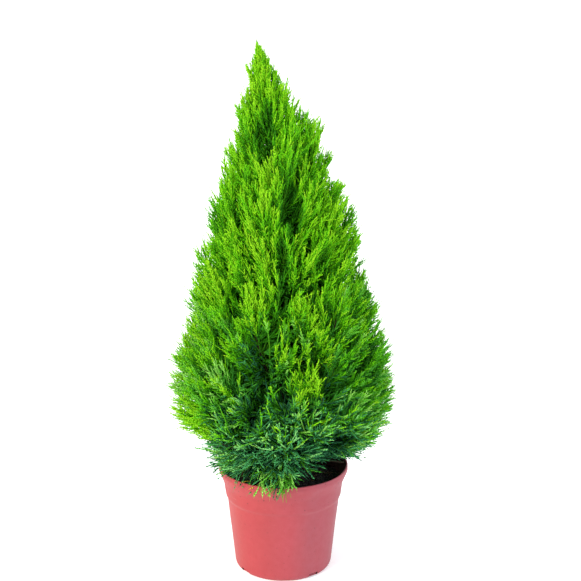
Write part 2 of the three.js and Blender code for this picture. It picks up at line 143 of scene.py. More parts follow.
# Flames are young growth, and their brightness is also painted light on ridges that catch the light
FLAMES = ((-104, 0.545, 0.012, 0.050), (-116, 0.450, 0.014, 0.040), (-100, 0.432, 0.010, 0.056),
          (-71, 0.450, 0.011, 0.045), (-68, 0.385, 0.012, 0.035), (-73, 0.306, 0.030, 0.028),
          (-92, 0.335, 0.010, 0.022), (-112, 0.388, 0.012, 0.032), (-106, 0.138, 0.013, 0.022),
          (-87, 0.136, 0.014, 0.024), (-81, 0.290, 0.013, 0.014), (-150, 0.226, 0.042, 0.030),
          (-81, 0.388, 0.006, 0.030))
HOLLOW_DEPTH = 0.5
CLEFT_DEPTH = 0.3
SPRIG = {"reach": 0.009, "depth": 0.3}
NOTCH_DEPTH = 0.12
BARER = {"depth": 0.5, "thinner": 0.3, "cool": 0.40}
FLAME = {"depth": 0.25, "brighter": 0.18}

# How far growth may pass the outline, and how far it keeps from pot, soil and trunk
OUTLINE_SLACK = {"feather": (-0.010, 0.006), "shoot": (-0.003, 0.007), "branchlet": 0.003,
                 "full_radius": 0.022, "reach": 0.155}
LIMB_CLEARANCE = 0.0015

# A plume's stem, its feathers up to the crown's outline and the inner shoots between them
PLUME_POWER = 0.7
STEM = {"radius": 0.0017, "taper": 0.5, "end": 0.85, "rings": 12, "sides": 6, "shoot_width": 0.6}
STEM_SEARCH = {"start": 0.02, "places": 60}
FEATHERS = 190
FEATHER = {"bare": 0.15, "width": 0.028, "radius": 0.0011}
FEATHER_LENGTH = {"top": 0.050, "most": 0.110, "growth": 0.35}
LINE_BEND = 0.5
ROOT_PLACES = 5
SPREAD_LEVELS = 400
SPIRE_WEIGHT = 0.028
INNER_SHOOTS = 2200
INNER_REACH = 0.9
INNER_STEP = 0.7548776662
INNER_LENGTH = 0.045
INNER_SPACING = 0.0025
FOUNTAIN_LEVELS = (0.12, 0.15, 0.19, 0.23, 0.30, 0.40, 0.50, 0.60, 0.69)
FOUNTAIN_TILTS = (125, 108, 86, 66, 44, 30, 22, 14, 5)
FOUNTAIN = {"most": 1.1, "power": 0.7}

# The shoots off each stem and feather: angles at foot and tip, the least and most of lengths
SHOOT_SPACING = 0.0042
SHOOT_FEWEST = 3
SHOOT_START = 0.04
SHOOT_ANGLE = (38, 14)
SHOOT_LENGTHS = (0.018, 0.072)
SHOOT_BEYOND = 0.006
SHOOT_SCATTER = {"turn": 0.8, "way": 0.12, "length": (0.85, 1.15)}
SHOOT_RISE = {"place": 0.6, "share": 0.6}
SHOOT_SIZES = (1.0, 0.9, 0.8, 0.7, 0.6, 0.5, 0.4)
SHOOT_STEPS = 5
SHOOT_TUBE = {"radius": 0.0007, "taper": 0.3, "sides": 3}

# The branchlets off each shoot, given in the same way, with the loose lower part of the crown and
# the thin long wisps
BRANCHLET_SPACING = 0.0028
BRANCHLET_BARE = 0.05
BRANCHLET_ANGLE = (30, 10)
BRANCHLET_LENGTH = (0.0215, 0.0125)
BRANCHLET_SIZES = (0.65, 1.15)
BRANCHLET_SCATTER = {"turn": 0.4, "angle": 0.12, "length": (0.7, 1.15)}
FULL_SHOOT = 0.06
# In the lower part, the colour score drops towards the hem: painted shade under the crown
LOWER_PART = {"front_top": 0.295, "flank_top": 0.235, "fade": 0.09, "longer": 2.25,
              "thinner": 0.58, "thicker": 1.7, "cool": 0.95, "painted_shade": 0.10}
WISP = {"share": 0.08, "longer": 1.75, "slack": 0.011, "thinner": 0.75}

# The needles on each branchlet, fewer and wider in the shells further in
SHELL_DEPTHS = (0.018, 0.034)
SHELL_NEEDLES = (3, 1, 0)
SHELL_WIDTHS = (0.0008, 0.0012, 0.0018)
NEEDLE_LENGTH = 0.0038
NEEDLE_WIDTH = 0.0008
NEEDLE_ANGLE = 21
NEEDLE_OPENING = (1.2, 0.6)
NEEDLE_START = 0.6
NEEDLE_REACH = (0.05, 0.8)
NEEDLE_RUN = 0.016
NEEDLE_RUNS = 2
NEEDLE_SCATTER = {"place": 0.04, "angle": 0.12, "length": (0.75, 1.15)}
MOST_TRIANGLES = 190_000

# How colours are dealt: a score from depth, place on the shoot and vigour, lowered by painted
# shade round hollows, towards the hem and on the side away from the light, then the bluish
# tinge of the lower half and dry ends
SCORE = {"outer": 0.75, "along": 0.3}
VIGOUR = {"plume": 0.045, "feather": 0.09, "shoot": 0.05, "branchlet": 0.05}
INNER_SHADE = {"low_depth": 0.07, "high_depth": 0.11, "level": 0.33, "fade": 0.12}
# Painted shade round hollows and clefts: pockets, wider than the gaps, where colours are dealt
# lower
HOLLOW_SHADE = {"wider": 1.25, "depth": 0.9, "painted_shade": 0.32}
SHADY_SIDE = {"bearing": -15, "painted_shade": 0.06}
TINGE = {"top": 0.42, "fade": 0.20, "share": 0.7, "hem": 0.165}
DRY_ENDS = {"top": 0.145, "along": 0.8, "share": 0.25}
COLOUR_STEPS = {"deep": (0.55, 0.72, 0.88, 1.03), "fresh_shade": (0.72, 0.95), "teal": (0.75, 0.97)}

# The stage: the camera's focal length and shift are in pixels of a picture of the given width
FLOOR = {"size": 120, "level": -0.0003, "tone": 0.9, "roughness": 0.9, "glow": 0.35}
CAMERA = {"place": (0, -1.5, 0.757), "down": 14.3, "focal": 1215, "shift": 7.2, "width": 581,
          "sensor": 36}

MERGE_GAP = 1e-6
RING_GAP = 1e-5
TINY = 1e-12
STEEP = 0.9


def lerp(a, b, share):
    return a + (b - a) * share


def ramp(value, fade):
    return np.clip(value / fade, 0, 1)


def unit(vectors):
    return vectors / np.maximum(np.linalg.norm(vectors, axis=-1, keepdims=True), TINY)


def heading(turn):
    return np.array([math.cos(turn), math.sin(turn), 0])


def turned_from(first, second, angle):
    """The way that is turned by an angle from a first direction towards a second."""
    return first * np.cos(angle)[..., None] + second * np.sin(angle)[..., None]


# The rule of the solid model


def seeded(seed):
    """A repeatable stream of numbers from 0 to 1, the same as the solid model's."""
    word = 0xFFFFFFFF
    state = seed

    def draw():
        nonlocal state
        state = (state + 0x6D2B79F5) & word
        mixed = ((state ^ (state >> 15)) * (state | 1)) & word
        mixed ^= (mixed + (mixed ^ (mixed >> 7)) * (mixed | 61)) & word
        return ((mixed ^ (mixed >> 14)) & word) / 2**32

    return draw


def trunk_point(level):
    level = np.asarray(level, float)
    rise = np.maximum(0, level - SOIL_LEVEL) / (TREE_HEIGHT - SOIL_LEVEL)
    return np.stack([LEAN * rise**LEAN_POWER, np.zeros_like(level), level], axis=-1)


def trunk_radius(level):
    share = ramp(level - SOIL_LEVEL, TRUNK_TIP - SOIL_LEVEL)
    flare = ROOT_FLARE["extra"] * np.exp((SOIL_LEVEL - level) / (ROOT_FLARE["height"] / 2))
    return lerp(*TRUNK_RADIUS, share) + flare


def crown_radius(level):
    return np.interp(level, CROWN_LEVELS, CROWN_RADII)


def hem_lift(bearing, hem):
    """How much higher the hem is at the sides and back than at the front, over the pot."""
    away = (bearing - math.radians(hem["lowest"]) + math.pi) % (2 * math.pi) - math.pi
    return hem["most"] * (1 - np.exp(-((away / math.radians(hem["spread"])) ** 2)))


def from_axis(points):
    """Each point's horizontal offset from the trunk's line."""
    offset = points - trunk_point(points[..., 2])
    offset[..., 2] = 0
    return offset


def axis_gap(points):
    return np.linalg.norm(from_axis(points), axis=-1)


def lower_share(points):
    """How far down each point is in the loose lower part, which starts higher at front and back."""
    facing = unit(from_axis(points))[..., 1] ** 2
    top = lerp(LOWER_PART["flank_top"], LOWER_PART["front_top"], facing)
    return ramp(top - points[..., 2], LOWER_PART["fade"])


def plume_profile(share):
    return np.sin(math.pi * np.clip(share, 0, 1) ** PLUME_POWER) ** PLUME_POWER


def read_off(wanted, marks, rows):
    """The rows' values at the wanted places between the marks."""
    return np.stack([np.interp(wanted, marks, rows[:, i]) for i in range(3)], axis=-1)


def even_line(points):
    """A line through the points in even steps, with its tangents and its length."""
    steps = np.linalg.norm(np.diff(points, axis=0), axis=1)
    run = np.concatenate([[0], np.cumsum(steps)])
    places = read_off(np.linspace(0, run[-1], LINE_PLACES + 1), run, points)
    return {"places": places, "ways": unit(np.gradient(places, axis=0)), "length": run[-1]}


def along_line(line, shares):
    even = np.linspace(0, 1, LINE_PLACES + 1)
    return read_off(shares, even, line["places"]), unit(read_off(shares, even, line["ways"]))


def bent_line(root, bend, tip):
    t = np.linspace(0, 1, 4 * LINE_PLACES)[:, None]
    return even_line((1 - t) ** 2 * root + 2 * t * (1 - t) * bend + t**2 * tip)


def plume_line(tier, index, seed):
    draw = seeded(seed)

    def spread(size):
        return (draw() * 2 - 1) * size

    bearing = index / tier["plumes"] * 360 + tier["bearing"] + spread(TIER_JITTER["bearing"])
    turn = math.radians(bearing)
    root = trunk_point(tier["root"] + spread(TIER_JITTER["root"]))
    tip_level = tier["tip"] + spread(tier["scatter"])
    if tier["name"] == "skirt":
        tip_level += float(hem_lift(turn, HEM_LIFT))
    reach = float(crown_radius(tip_level))
    tip = trunk_point(tip_level) + heading(turn) * reach
    bend = root + heading(turn) * reach * tier["bend"]
    if tip[2] > root[2]:
        bend[2] = lerp(root[2], tip[2], tier["rise"])
    else:
        bend[2] = root[2] + (root[2] - tip[2]) * tier["rise"]
    return bent_line(root, bend, tip)


def plume_plans():
    plans = []
    for tier in TIERS:
        bough = tier["name"] not in BARE_TIERS
        for index in range(tier["plumes"]):
            seed = tier["seed"] + SEED_STEP * index
            plans.append({
                "tier": tier["name"], "label": f"{tier['name']}_{index + 1}", "seed": seed,
                "bough": bough, "line": plume_line(tier, index, seed), "width": tier["width"],
                "leafy": BOUGH_SHARE if bough else BARE_SHARE,
            })
    ends = trunk_point([TRUNK_TIP + SEAT_GAP, TREE_HEIGHT])
    plans.append({
        "tier": "leader", "label": "leader", "seed": LEADER["seed"], "bough": False,
        "line": even_line(ends), "width": LEADER["width"], "leafy": 0,
    })
    return plans


# The pot's profile, and what is clear of pot, trunk and hollows


def pot_outside():
    """The outside from the rounded foot to the lip, as radius and level."""
    corner = []
    for i in range(FOOT_CORNER["steps"] + 1):
        turn = i / FOOT_CORNER["steps"] * math.pi / 2
        corner.append((lerp(FOOT_RADIUS, FOOT_CORNER["radius"], math.sin(turn)),
                       FOOT_CORNER["level"] * (1 - math.cos(turn))))
    step = []
    for i in range(COLLAR["rings"] + 1):
        drop = (1 + math.cos(i / COLLAR["rings"] * math.pi)) / 2
        step.append((COLLAR["radius"] - COLLAR["step"] * drop,
                     COLLAR["bottom"] - COLLAR["rise"] * (1 - i / COLLAR["rings"])))
    return corner + step + [
        (COLLAR["radius"] + COLLAR["flare"], COLLAR["top"]),
        (POT_RADIUS, POT_HEIGHT - LIP_DEPTH),
        (POT_RADIUS, POT_HEIGHT),
    ]


def pot_radius(level):
    radii, levels = zip(*pot_outside())
    return np.interp(level, levels, radii)


def pot_profile():
    """The whole wall as radius and level: up the outside, over the lip and down the inside."""
    body_top = COLLAR["bottom"] - COLLAR["rise"]
    lip_bottom = POT_HEIGHT - LIP_DEPTH
    outer = [level for _, level in pot_outside() if level <= FOOT_CORNER["level"]]
    outer += list(np.linspace(FOOT_CORNER["level"], body_top, POT_RINGS["body"])[1:])
    outer += list(np.linspace(body_top, COLLAR["bottom"], COLLAR["rings"] + 1)[1:])
    outer += list(np.linspace(COLLAR["bottom"], COLLAR["top"], POT_RINGS["collar"])[1:-1])
    outer += list(np.linspace(COLLAR["top"], lip_bottom, POT_RINGS["flare"]))
    outer += [lip_bottom + LIP_EDGE, POT_HEIGHT - LIP_ROUND]
    inner = [POT_HEIGHT - LIP_ROUND, lip_bottom, COLLAR["top"], COLLAR["bottom"], body_top,
             INNER_RING, FOOT_CORNER["level"], POT_FLOOR]
    profile = [(float(pot_radius(level)), float(level)) for level in outer]
    profile += [(POT_RADIUS - LIP_ROUND, POT_HEIGHT),
                (POT_RADIUS - POT_WALL + LIP_ROUND, POT_HEIGHT)]
    return profile + [(float(pot_radius(level)) - POT_WALL, level) for level in inner]


def clear_of_pot(points):
    """Whether each point is above the lip, outside the wall, or inside the pot above the soil."""
    radius = np.hypot(points[..., 0], points[..., 1])
    level = points[..., 2]
    above = level > POT_HEIGHT + LIMB_CLEARANCE
    outside = radius > POT_RADIUS + LIMB_CLEARANCE
    inside = radius < pot_radius(level) - POT_WALL - LIMB_CLEARANCE
    return above | outside | (inside & (level > SOIL_LEVEL + LIMB_CLEARANCE))


def clear_of_trunk(points):
    level = points[..., 2]
    return (level > TRUNK_TIP) | (axis_gap(points) > trunk_radius(level) + LIMB_CLEARANCE)


def in_pockets(points, pockets, pocket_depth):
    """Whether each point is in an egg-shaped pocket that opens outwards.

    A pocket's depth is a share of the crown's radius.
    """
    offset = from_axis(points)
    inside = np.zeros(points.shape[:-1], bool)
    for bearing, level, half_width, half_height in pockets:
        turn = math.radians(bearing)
        outward = offset[..., 0] * math.cos(turn) + offset[..., 1] * math.sin(turn)
        across = offset[..., 1] * math.cos(turn) - offset[..., 0] * math.sin(turn)
        depth = np.maximum(1 - outward / crown_radius(level), 0)
        rise = points[..., 2] - level
        inside |= ((depth / pocket_depth) ** 2 + (across / half_width) ** 2
                   + (rise / half_height) ** 2 < 1)
    return inside


def in_gaps(points):
    return in_pockets(points, HOLLOWS, HOLLOW_DEPTH) | in_pockets(points, CLEFTS, CLEFT_DEPTH)


def inside_outline(points, slack=0.0):
    """Whether each point is in the crown, which may be passed by the slack, and in no gap of it."""
    offset = from_axis(points)
    level = points[..., 2]
    radius = crown_radius(level)
    sprigs = SPRIG["reach"] * in_pockets(points, SPRIGS, SPRIG["depth"])
    slack = slack * np.minimum(1, radius / OUTLINE_SLACK["full_radius"])
    reach = np.minimum(radius + slack + sprigs, OUTLINE_SLACK["reach"])
    within = np.linalg.norm(offset, axis=-1) < reach
    open_space = in_gaps(points) | in_pockets(points, NOTCHES, NOTCH_DEPTH)
    bearing = np.arctan2(offset[..., 1], offset[..., 0])
    above_hem = level > HEM_LEVEL + hem_lift(bearing, FRINGE_LIFT)
    return above_hem & (level < TREE_HEIGHT + SEAT_GAP) & within & ~open_space


# Modelling by hand


def deselect():
    bpy.ops.object.select_all(action="DESELECT")


def edit_mode():
    bpy.ops.object.mode_set(mode="EDIT")


def object_mode():
    bpy.ops.object.mode_set(mode="OBJECT")


def make_active(piece):
    deselect()
    piece.select_set(True)
    bpy.context.view_layer.objects.active = piece


def add_object(name, data):
    made = bpy.data.objects.new(name, data)
    bpy.context.scene.collection.objects.link(made)
    return made


def select_points(piece, wanted):
    """In edit mode, selects the points for which wanted is true, and what lies between them."""
    object_mode()
    for part in (piece.data.polygons, piece.data.edges):
        for item in part:
            item.select = False
    for point in piece.data.vertices:
        point.select = bool(wanted(point.co))
    edit_mode()
    bpy.ops.mesh.select_mode(type="VERT")


def face_outwards():
    """In edit mode, merges doubled points and turns the faces outwards."""
    bpy.ops.mesh.select_all(action="SELECT")
    bpy.ops.mesh.remove_doubles(threshold=MERGE_GAP)
    bpy.ops.mesh.normals_make_consistent(inside=False)


def turned(name, profile, sides):
    """A ring drawn on, ring by ring, along a profile of radius and level, closed at both ends."""
    deselect()
    (first_radius, first_level), *others = profile
    bpy.ops.mesh.primitive_circle_add(vertices=sides, radius=first_radius,
                                      location=(0, 0, first_level))
    piece = bpy.context.object
    piece.name = piece.data.name = name
    bpy.ops.object.transform_apply(location=True, rotation=True, scale=True)
    edit_mode()
    bpy.ops.mesh.select_all(action="SELECT")
    radius, level = first_radius, first_level
    for next_radius, next_level in others:
        lift = (0, 0, next_level - level)
        bpy.ops.mesh.extrude_region_move(TRANSFORM_OT_translate={"value": lift})
        grow = next_radius / radius
        bpy.ops.transform.resize(value=(grow, grow, 1), center_override=(0, 0, next_level))
        radius, level = next_radius, next_level
    bpy.ops.mesh.edge_face_add()
    select_points(piece, lambda at: abs(at.z - first_level) < MERGE_GAP
                  and abs(math.hypot(at.x, at.y) - first_radius) < RING_GAP)
    bpy.ops.mesh.edge_face_add()
    face_outwards()
    object_mode()
    return piece


def apply_modifiers(piece):
    make_active(piece)
    for modifier in list(piece.modifiers):
        bpy.ops.object.modifier_apply(modifier=modifier.name)


def add_lumps(piece, name, size, detail, strength, weights=""):
    """Soft lumps of a size, on the whole piece or by a group of weights."""
    lumps = piece.modifiers.new(name, "DISPLACE")
    lumps.texture = bpy.data.textures.new(name, type="CLOUDS")
    lumps.texture.noise_scale = size
    lumps.texture.noise_depth = detail
    lumps.strength = strength
    lumps.vertex_group = weights
    return lumps


def weigh_points(piece, name, weight):
    group = piece.vertex_groups.new(name=name)
    for point in piece.data.vertices:
        group.add([point.index], weight(point.co), "REPLACE")


def smooth(piece, degrees):
    make_active(piece)
    bpy.ops.object.shade_smooth_by_angle(angle=math.radians(degrees))


def put_in_frame(piece, slot_name, *nodes):
    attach(piece, "root")
    if nodes:
        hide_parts(*nodes)


def finish_piece(piece, material, slot_name, *nodes):
    piece.data.materials.clear()
    piece.data.materials.append(material)
    put_in_frame(piece, slot_name, *nodes)


# Finishes


def linear(red, green, blue):
    """A colour as the eye reads it, 0 to 255, as the renderer's linear values (the sRGB curve)."""
    shares = np.array([red, green, blue]) / 255
    flat = np.where(shares <= 0.04045, shares / 12.92, ((shares + 0.055) / 1.055) ** 2.4)
    return (*flat, 1.0)


def new_material(name):
    material = bpy.data.materials.new(name)
    material.use_nodes = True
    return material, material.node_tree, material.node_tree.nodes["Principled BSDF"]


def set_inputs(node, **values):
    for label, value in values.items():
        node.inputs[label.replace("_", " ")].default_value = value


def mottle_group():
    """Soft blotches, streaks or fibres: noise on the piece's own coordinates, stretched."""
    group = bpy.data.node_groups.new("mottle", "ShaderNodeTree")
    for label, kind, start in (("Scale", "Float", 10.0), ("Detail", "Float", 4.0),
                               ("Stretch", "Vector", (1, 1, 1)), ("Low", "Float", 0.35),
                               ("High", "Float", 0.65)):
        socket = group.interface.new_socket(label, in_out="INPUT", socket_type=f"NodeSocket{kind}")
        socket.default_value = start
    group.interface.new_socket("Mask", in_out="OUTPUT", socket_type="NodeSocketFloat")
    given, result, place, mapping, noise, spread = (group.nodes.new(kind) for kind in (
        "NodeGroupInput", "NodeGroupOutput", "ShaderNodeTexCoord", "ShaderNodeMapping",
        "ShaderNodeTexNoise", "ShaderNodeMapRange"))
    for source, output, target, socket in (
            (place, "Object", mapping, "Vector"), (given, "Stretch", mapping, "Scale"),
            (mapping, "Vector", noise, "Vector"), (given, "Scale", noise, "Scale"),
            (given, "Detail", noise, "Detail"), (noise, "Fac", spread, "Value"),
            (given, "Low", spread, "From Min"), (given, "High", spread, "From Max"),
            (spread, "Result", result, "Mask")):
        group.links.new(source.outputs[output], target.inputs[socket])
    return group


MOTTLE = mottle_group()


def mottle(tree, **values):
    node = tree.nodes.new("ShaderNodeGroup")
    node.node_tree = MOTTLE
    set_inputs(node, **values)
    return node.outputs["Mask"]


def blend_colours(tree, share, first, second):
    """Mixes two colours, each a plain colour or the output of another node."""
    mix = tree.nodes.new("ShaderNodeMix")
    mix.data_type = "RGBA"
    tree.links.new(share, mix.inputs["Factor"])
    for label, colour in (("A", first), ("B", second)):
        socket = next(s for s in mix.inputs if s.name == label and s.type == "RGBA")
        if isinstance(colour, tuple):
            socket.default_value = colour
        else:
            tree.links.new(colour, socket)
    return next(s for s in mix.outputs if s.type == "RGBA")


def map_range(tree, value, **ends):
    node = tree.nodes.new("ShaderNodeMapRange")
    tree.links.new(value, node.inputs["Value"])
    set_inputs(node, **ends)
    return node.outputs["Result"]


def between(tree, mask, low, high):
    """A value that goes from low to high with a mask."""
    return map_range(tree, mask, To_Min=low, To_Max=high)


def tinted(tree, colour, mask, most, tint):
    """A colour that goes towards a tint with a mask, by the most at its full."""
    return blend_colours(tree, between(tree, mask, 0.0, most), colour, linear(*tint))


def times(tree, first, second):
    node = tree.nodes.new("ShaderNodeMath")
    node.operation = "MULTIPLY"
    tree.links.new(first, node.inputs[0])
    tree.links.new(second, node.inputs[1])
    return node.outputs["Value"]


def place_mask(tree, axis, start, end):
    """A mask that rises from 0 to 1 between two places along an axis of the piece."""
    place = tree.nodes.new("ShaderNodeTexCoord")
    split = tree.nodes.new("ShaderNodeSeparateXYZ")
    tree.links.new(place.outputs["Object"], split.inputs["Vector"])
    return map_range(tree, split.outputs[axis], From_Min=start, From_Max=end)


def bumped(tree, shader, height, strength, distance):
    bump = tree.nodes.new("ShaderNodeBump")
    set_inputs(bump, Strength=strength, Distance=distance)
    tree.links.new(height, bump.inputs["Height"])
    tree.links.new(bump.outputs["Normal"], shader.inputs["Normal"])


def pot_plastic():
    """Red plastic with painted cool reflected light on one side and painted paler stripes of
    reflection, scratched at the collar and soiled near the lip.
    """
    material, tree, shader = new_material("pot_plastic")
    broad = mottle(tree, Scale=14.0, Detail=3.0, Low=0.3, High=0.7)
    # Vertical stripes that vary the roughness; in the colour they are painted stripes of reflection
    reflection_bands = mottle(tree, Scale=26.0, Detail=1.0, Stretch=(1, 1, 0.12), Low=0.35, High=0.65)
    fine = mottle(tree, Scale=120.0, Detail=6.0, Low=0.35, High=0.7)
    scratches = mottle(tree, Scale=55.0, Detail=2.0, Stretch=(0.5, 0.5, 9.0), Low=0.69, High=0.74)
    specks = mottle(tree, Scale=230.0, Detail=1.0, Low=0.735, High=0.75)
    # Painted cool reflected light: the colour turns mauve towards +X
    painted_cool_side = place_mask(tree, "X", start=-0.06, end=0.05)
    under_collar = place_mask(tree, "Z", start=0.075, end=0.1)
    over_collar = place_mask(tree, "Z", start=0.122, end=0.108)
    near_lip = place_mask(tree, "Z", start=0.085, end=0.137)
    scuffs = times(tree, scratches, times(tree, under_collar, over_collar))
    dirt = times(tree, specks, between(tree, near_lip, 0.25, 0.9))
    colour = blend_colours(tree, broad, linear(164, 54, 54), linear(174, 59, 59))
    # Painted cool light towards +X and painted stripes of reflection, then tone, scratches and dirt
    colour = tinted(tree, colour, painted_cool_side, 0.55, (138, 82, 97))
    colour = tinted(tree, colour, reflection_bands, 0.4, (170, 66, 74))
    colour = tinted(tree, colour, fine, 0.25, (150, 46, 50))
    colour = tinted(tree, colour, scuffs, 0.4, (206, 118, 116))
    colour = blend_colours(tree, dirt, colour, linear(70, 42, 36))
    tree.links.new(colour, shader.inputs["Base Color"])
    tree.links.new(between(tree, reflection_bands, 0.42, 0.54), shader.inputs["Roughness"])
    set_inputs(shader, Specular_IOR_Level=0.28)
    grain = mottle(tree, Scale=420.0, Detail=3.0)
    bumped(tree, shader, grain, strength=0.12, distance=0.0004)
    return material


def peat():
    material, tree, shader = new_material("peat")
    lumps = mottle(tree, Scale=170.0, Detail=8.0, Low=0.3, High=0.7)
    fibres = mottle(tree, Scale=420.0, Detail=3.0, Low=0.6, High=0.75)
    colour = blend_colours(tree, lumps, linear(14, 10, 9), linear(36, 26, 21))
    colour = blend_colours(tree, fibres, colour, linear(62, 46, 34))
    tree.links.new(colour, shader.inputs["Base Color"])
    tree.links.new(between(tree, lumps, 0.98, 0.88), shader.inputs["Roughness"])
    bumped(tree, shader, lumps, strength=0.9, distance=0.002)
    return material


def bark():
    material, tree, shader = new_material("bark")
    furrows = mottle(tree, Scale=260.0, Detail=6.0, Stretch=(1, 1, 0.14), Low=0.35, High=0.66)
    patches = mottle(tree, Scale=60.0, Detail=3.0, Stretch=(1, 1, 0.4), Low=0.4, High=0.7)
    colour = blend_colours(tree, furrows, linear(40, 31, 25), linear(84, 68, 53))
    colour = tinted(tree, colour, patches, 0.5, (106, 90, 74))
    tree.links.new(colour, shader.inputs["Base Color"])
    tree.links.new(between(tree, furrows, 0.95, 0.75), shader.inputs["Roughness"])
    bumped(tree, shader, furrows, strength=0.8, distance=0.0012)
    return material


def plain(name, red, green, blue, roughness):
    material, _, shader = new_material(name)
    set_inputs(shader, Base_Color=linear(red, green, blue), Roughness=roughness,
               Specular_IOR_Level=0.15)
    return material


POT_PLASTIC = pot_plastic()
PEAT = peat()
BARK = bark()
NEEDLE_COLOURS = {
    "deep": (50, 128, 12),
    "shade": (74, 164, 8),
    "green": (104, 198, 8),
    "lime": (132, 211, 12),
    "gold": (157, 222, 28),
    "fresh_shade": (68, 154, 44),
    "fresh_green": (107, 196, 54),
    "fresh_lime": (150, 216, 92),
    "teal": (42, 108, 66),
    "blue": (74, 158, 90),
    "bluish": (136, 212, 118),
    "dry": (214, 184, 60),
}
NEEDLE_ORDER = list(NEEDLE_COLOURS)
NEEDLE_FINISHES = [plain(f"needle_{name}", *colour, roughness=0.55)
                   for name, colour in NEEDLE_COLOURS.items()]
TWIG_FINISHES = [plain("twig_brown", 50, 42, 30, roughness=0.8),
                 plain("twig_green", 82, 152, 20, roughness=0.7)]
# A dark finish for the pot's inner wall: painted shade
POT_INSIDE_SHADE = plain("pot_inner_wall_shade", 48, 25, 23, roughness=0.85)
LITTER_FINISHES = [plain("crumb_dark", 20, 15, 13, roughness=0.95),
                   plain("crumb_brown", 46, 34, 27, roughness=0.95),
                   plain("fallen_needle", 96, 74, 46, roughness=0.8)]


# Many small shapes as one mesh


CRUMB_CORNERS = np.array([[1, 0, 0], [-1, 0, 0], [0, 1, 0], [0, -1, 0], [0, 0, 1], [0, 0, -1]])
CRUMB_FACES = np.array([[0, 2, 4], [2, 1, 4], [1, 3, 4], [3, 0, 4],
                        [2, 0, 5], [1, 2, 5], [3, 1, 5], [0, 3, 5]])
AWL_FACES = np.array([[0, 1, 3], [1, 2, 3], [2, 0, 3], [0, 2, 1]])


def repeated(faces, points_each, count):
    """The faces of one shape, counted on for each of many such shapes."""
    return (faces[None] + points_each * np.arange(count)[:, None, None]).reshape(-1, 3)


def side_frames(ways):
    """Two directions square to each way."""
    helper = np.where(np.abs(ways[..., 2:3]) < STEEP, UP, np.array([1.0, 0.0, 0.0]))
    first = unit(np.cross(ways, helper))
    return first, np.cross(ways, first)


def awls(roots, ways, lengths, widths, turns):
    """Three-sided awls, one for each root: four points and four faces each."""
    first, second = side_frames(ways)
    corners = [roots + widths[:, None] * turned_from(first, second, turns + i * 2 * math.pi / 3)
               for i in range(3)]
    corners.append(roots + ways * lengths[:, None])
    points = np.stack(corners, axis=1).reshape(-1, 3)
    return points, repeated(AWL_FACES, 4, len(roots))


def tubes(lines, radii, sides):
    """Closed tapering tubes, one along each line of places."""
    count, places = lines.shape[:2]
    first, second = side_frames(unit(np.gradient(lines, axis=1)))
    turns = np.arange(sides) * 2 * math.pi / sides
    ring = turned_from(first[:, :, None], second[:, :, None], turns)
    points = (lines[:, :, None] + ring * radii[:, :, None, None]).reshape(-1, 3)
    faces = []
    for step in range(places - 1):
        for i in range(sides):
            a, b = step * sides + i, step * sides + (i + 1) % sides
            faces += [[a, b, b + sides], [a, b + sides, a + sides]]
    last = (places - 1) * sides
    faces += [[0, i + 1, i] for i in range(1, sides - 1)]
    faces += [[last, last + i, last + i + 1] for i in range(1, sides - 1)]
    return points, repeated(np.array(faces), places * sides, count)


def gather(parts):
    """Joins (points, triangles, kinds) into one of each."""
    points, triangles, kinds, offset = [], [], [], 0
    for some_points, some_triangles, some_kinds in parts:
        points.append(some_points)
        triangles.append(some_triangles + offset)
        kinds.append(some_kinds)
        offset += len(some_points)
    return np.concatenate(points), np.concatenate(triangles), np.concatenate(kinds)


def joined_mesh(name, points, triangles, kinds, finishes):
    mesh = bpy.data.meshes.new(name)
    mesh.vertices.add(len(points))
    mesh.vertices.foreach_set("co", points.astype(np.float32).ravel())
    mesh.loops.add(3 * len(triangles))
    mesh.loops.foreach_set("vertex_index", triangles.astype(np.int32).ravel())
    mesh.polygons.add(len(triangles))
    starts = np.arange(0, 3 * len(triangles), 3, dtype=np.int32)
    mesh.polygons.foreach_set("loop_start", starts)
    for finish in finishes:
        mesh.materials.append(finish)
    mesh.polygons.foreach_set("material_index", kinds.astype(np.int32))
    mesh.update(calc_edges=True)
    mesh.validate()
    return add_object(name, mesh)


# Pot, soil, trunk and boughs


def cut_drain_slots(pot):
    for i in range(DRAIN_SLOTS):
        turn = math.radians(DRAIN_SLOT["bearing"] + i * 360 / DRAIN_SLOTS)
        out = FOOT_RADIUS + DRAIN_SLOT["depth"]
        deselect()
        bpy.ops.mesh.primitive_cube_add(size=1, location=tuple(out * heading(turn)),
                                        rotation=(0, 0, turn))
        cutter = bpy.context.object
        cutter.scale = (2 * DRAIN_SLOT["depth"], DRAIN_SLOT["width"], 2 * DRAIN_SLOT["height"])
        bpy.ops.object.transform_apply(location=True, rotation=True, scale=True)
        edit_mode()
        bpy.ops.mesh.select_all(action="SELECT")
        bpy.ops.mesh.bevel(offset=DRAIN_SLOT["round"], segments=DRAIN_SLOT["round_steps"])
        object_mode()
        cut = pot.modifiers.new("drain_slot", "BOOLEAN")
        cut.object = cutter
        cut.operation = "DIFFERENCE"
        cut.solver = "EXACT"
        apply_modifiers(pot)
        bpy.data.objects.remove(cutter)


def make_pot():
    pot = turned("pot_shell", pot_profile(), POT_SIDES)
    cut_drain_slots(pot)
    weigh_points(pot, "soft_wall", lambda at: ramp(at.z - FIRM_FOOT["top"], FIRM_FOOT["fade"]))
    add_lumps(pot, "uneven_wall", **UNEVEN_WALL, weights="soft_wall")
    apply_modifiers(pot)
    smooth(pot, POT_SMOOTH)
    finish_piece(pot, POT_PLASTIC, "pot", "pot")
    # The inner wall below the lip's rounding takes the dark finish: painted shade
    pot.data.materials.append(POT_INSIDE_SHADE)
    for face in pot.data.polygons:
        inward = face.normal.x * face.center.x + face.normal.y * face.center.y < 0
        if inward and face.center.z < POT_HEIGHT - LIP_ROUND:
            face.material_index = 1


